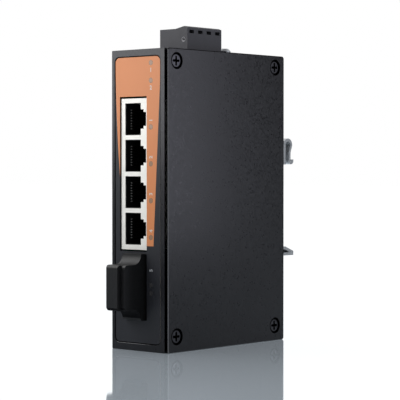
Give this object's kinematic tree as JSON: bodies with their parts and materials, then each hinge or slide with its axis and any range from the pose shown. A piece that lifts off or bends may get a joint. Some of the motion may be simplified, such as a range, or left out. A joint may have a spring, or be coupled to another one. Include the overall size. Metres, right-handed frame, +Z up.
{
  "type": "din rail ethernet switch",
  "caption": "Slim upright network switch in a black folded steel case for rail mounting, with copper ports, a plugged fibre port, a supply terminal and an earth screw.",
  "frame": {"origin": "middle of the underside of the case", "axes": "+X to the right seen from the front, +Y to the back where the rail clip is, +Z up"},
  "size_m": [0.03, 0.0927, 0.1247],
  "materials": {
    "case_paint": "black powder coat on steel, satin",
    "black_steel": "black oxide screws",
    "label_film": "printed film, orange field on dark grey",
    "clear_pipe": "clear moulded light pipe",
    "lamp_chip": "lamp chip",
    "board_laminate": "glass laminate with green mask",
    "tin_plate": "tin-plated sheet",
    "black_moulding": "black moulded polyamide",
    "gold_contact": "gold-flashed contact wire",
    "white_ceramic": "white ceramic sleeve",
    "tinned_pin": "tinned copper alloy",
    "black_rubber": "soft moulded rubber",
    "plug_moulding": "dark grey moulded polyamide",
    "zinc_steel": "zinc-plated steel",
    "chip_epoxy": "black epoxy package",
    "capacitor_can": "sleeved aluminium can"
  },
  "bodies": {
    "housing": {"chassis": "case_paint", "side_cover": "case_paint", "cover_screws": "black_steel", "front_label": "label_film", "light_pipes": "clear_pipe", "lamp_chips": "lamp_chip", "lamp_board": "board_laminate", "jack_shield": "tin_plate", "jack_housing": "black_moulding", "port_contacts_1": "gold_contact", "port_contacts_2": "gold_contact", "port_contacts_3": "gold_contact", "port_contacts_4": "gold_contact", "fibre_transceiver": "black_moulding", "fibre_sleeves": "white_ceramic", "fibre_pins": "tinned_pin", "terminal_header": "black_moulding", "header_pins": "tinned_pin", "earth_screw": "zinc_steel", "earth_nut": "zinc_steel", "rail_plate": "zinc_steel", "rail_spring": "zinc_steel", "rail_rivets": "zinc_steel", "rail_plate_screws": "zinc_steel", "rail_plate_nuts": "zinc_steel", "main_board": "board_laminate", "board_posts": "zinc_steel", "board_screws": "zinc_steel", "switch_chip": "chip_epoxy", "port_transformers": "chip_epoxy", "power_inductor": "chip_epoxy", "power_regulator": "chip_epoxy", "clock_crystal": "tin_plate", "power_capacitors": "capacitor_can", "lamp_link": "black_moulding"},
    "supply_plug": {"terminal_plug": "plug_moulding", "plug_contacts": "tinned_pin"},
    "fibre_plug": {"dust_plug": "black_rubber"},
    "screw_1": {"clamp_screw_1": "zinc_steel"},
    "clamp_1": {"wire_clamp_1": "zinc_steel"},
    "screw_2": {"clamp_screw_2": "zinc_steel"},
    "clamp_2": {"wire_clamp_2": "zinc_steel"},
    "screw_3": {"clamp_screw_3": "zinc_steel"},
    "clamp_3": {"wire_clamp_3": "zinc_steel"},
    "screw_4": {"clamp_screw_4": "zinc_steel"},
    "clamp_4": {"wire_clamp_4": "zinc_steel"}
  },
  "joints": [
    {"name": "supply_plug_pull", "type": "slide", "parent": "housing", "child": "supply_plug", "axis": [0, 0, 1], "range_m": [0, 0.012]},
    {"name": "fibre_plug_pull", "type": "slide", "parent": "housing", "child": "fibre_plug", "axis": [0, -1, 0], "range_m": [0, 0.012]},
    {"name": "screw_1_turn", "type": "hinge", "parent": "supply_plug", "child": "screw_1", "pos_m": [-0.0041, -0.01382, 0.1199], "axis": [-1, 0, 0], "range_deg": [0, 1440]},
    {"name": "clamp_1_open", "type": "slide", "parent": "supply_plug", "child": "clamp_1", "axis": [1, 0, 0], "range_m": [0, 0.002]},
    {"name": "screw_2_turn", "type": "hinge", "parent": "supply_plug", "child": "screw_2", "pos_m": [-0.0041, -0.00874, 0.1199], "axis": [-1, 0, 0], "range_deg": [0, 1440]},
    {"name": "clamp_2_open", "type": "slide", "parent": "supply_plug", "child": "clamp_2", "axis": [1, 0, 0], "range_m": [0, 0.002]},
    {"name": "screw_3_turn", "type": "hinge", "parent": "supply_plug", "child": "screw_3", "pos_m": [-0.0041, -0.00366, 0.1199], "axis": [-1, 0, 0], "range_deg": [0, 1440]},
    {"name": "clamp_3_open", "type": "slide", "parent": "supply_plug", "child": "clamp_3", "axis": [1, 0, 0], "range_m": [0, 0.002]},
    {"name": "screw_4_turn", "type": "hinge", "parent": "supply_plug", "child": "screw_4", "pos_m": [-0.0041, 0.00142, 0.1199], "axis": [-1, 0, 0], "range_deg": [0, 1440]},
    {"name": "clamp_4_open", "type": "slide", "parent": "supply_plug", "child": "clamp_4", "axis": [1, 0, 0], "range_m": [0, 0.002]}
  ],
  "couplings": [
    {"joint": "screw_1_turn", "follows": "clamp_1_open", "rad_per_m": 12566},
    {"joint": "screw_2_turn", "follows": "clamp_2_open", "rad_per_m": 12566},
    {"joint": "screw_3_turn", "follows": "clamp_3_open", "rad_per_m": 12566},
    {"joint": "screw_4_turn", "follows": "clamp_4_open", "rad_per_m": 12566}
  ]
}
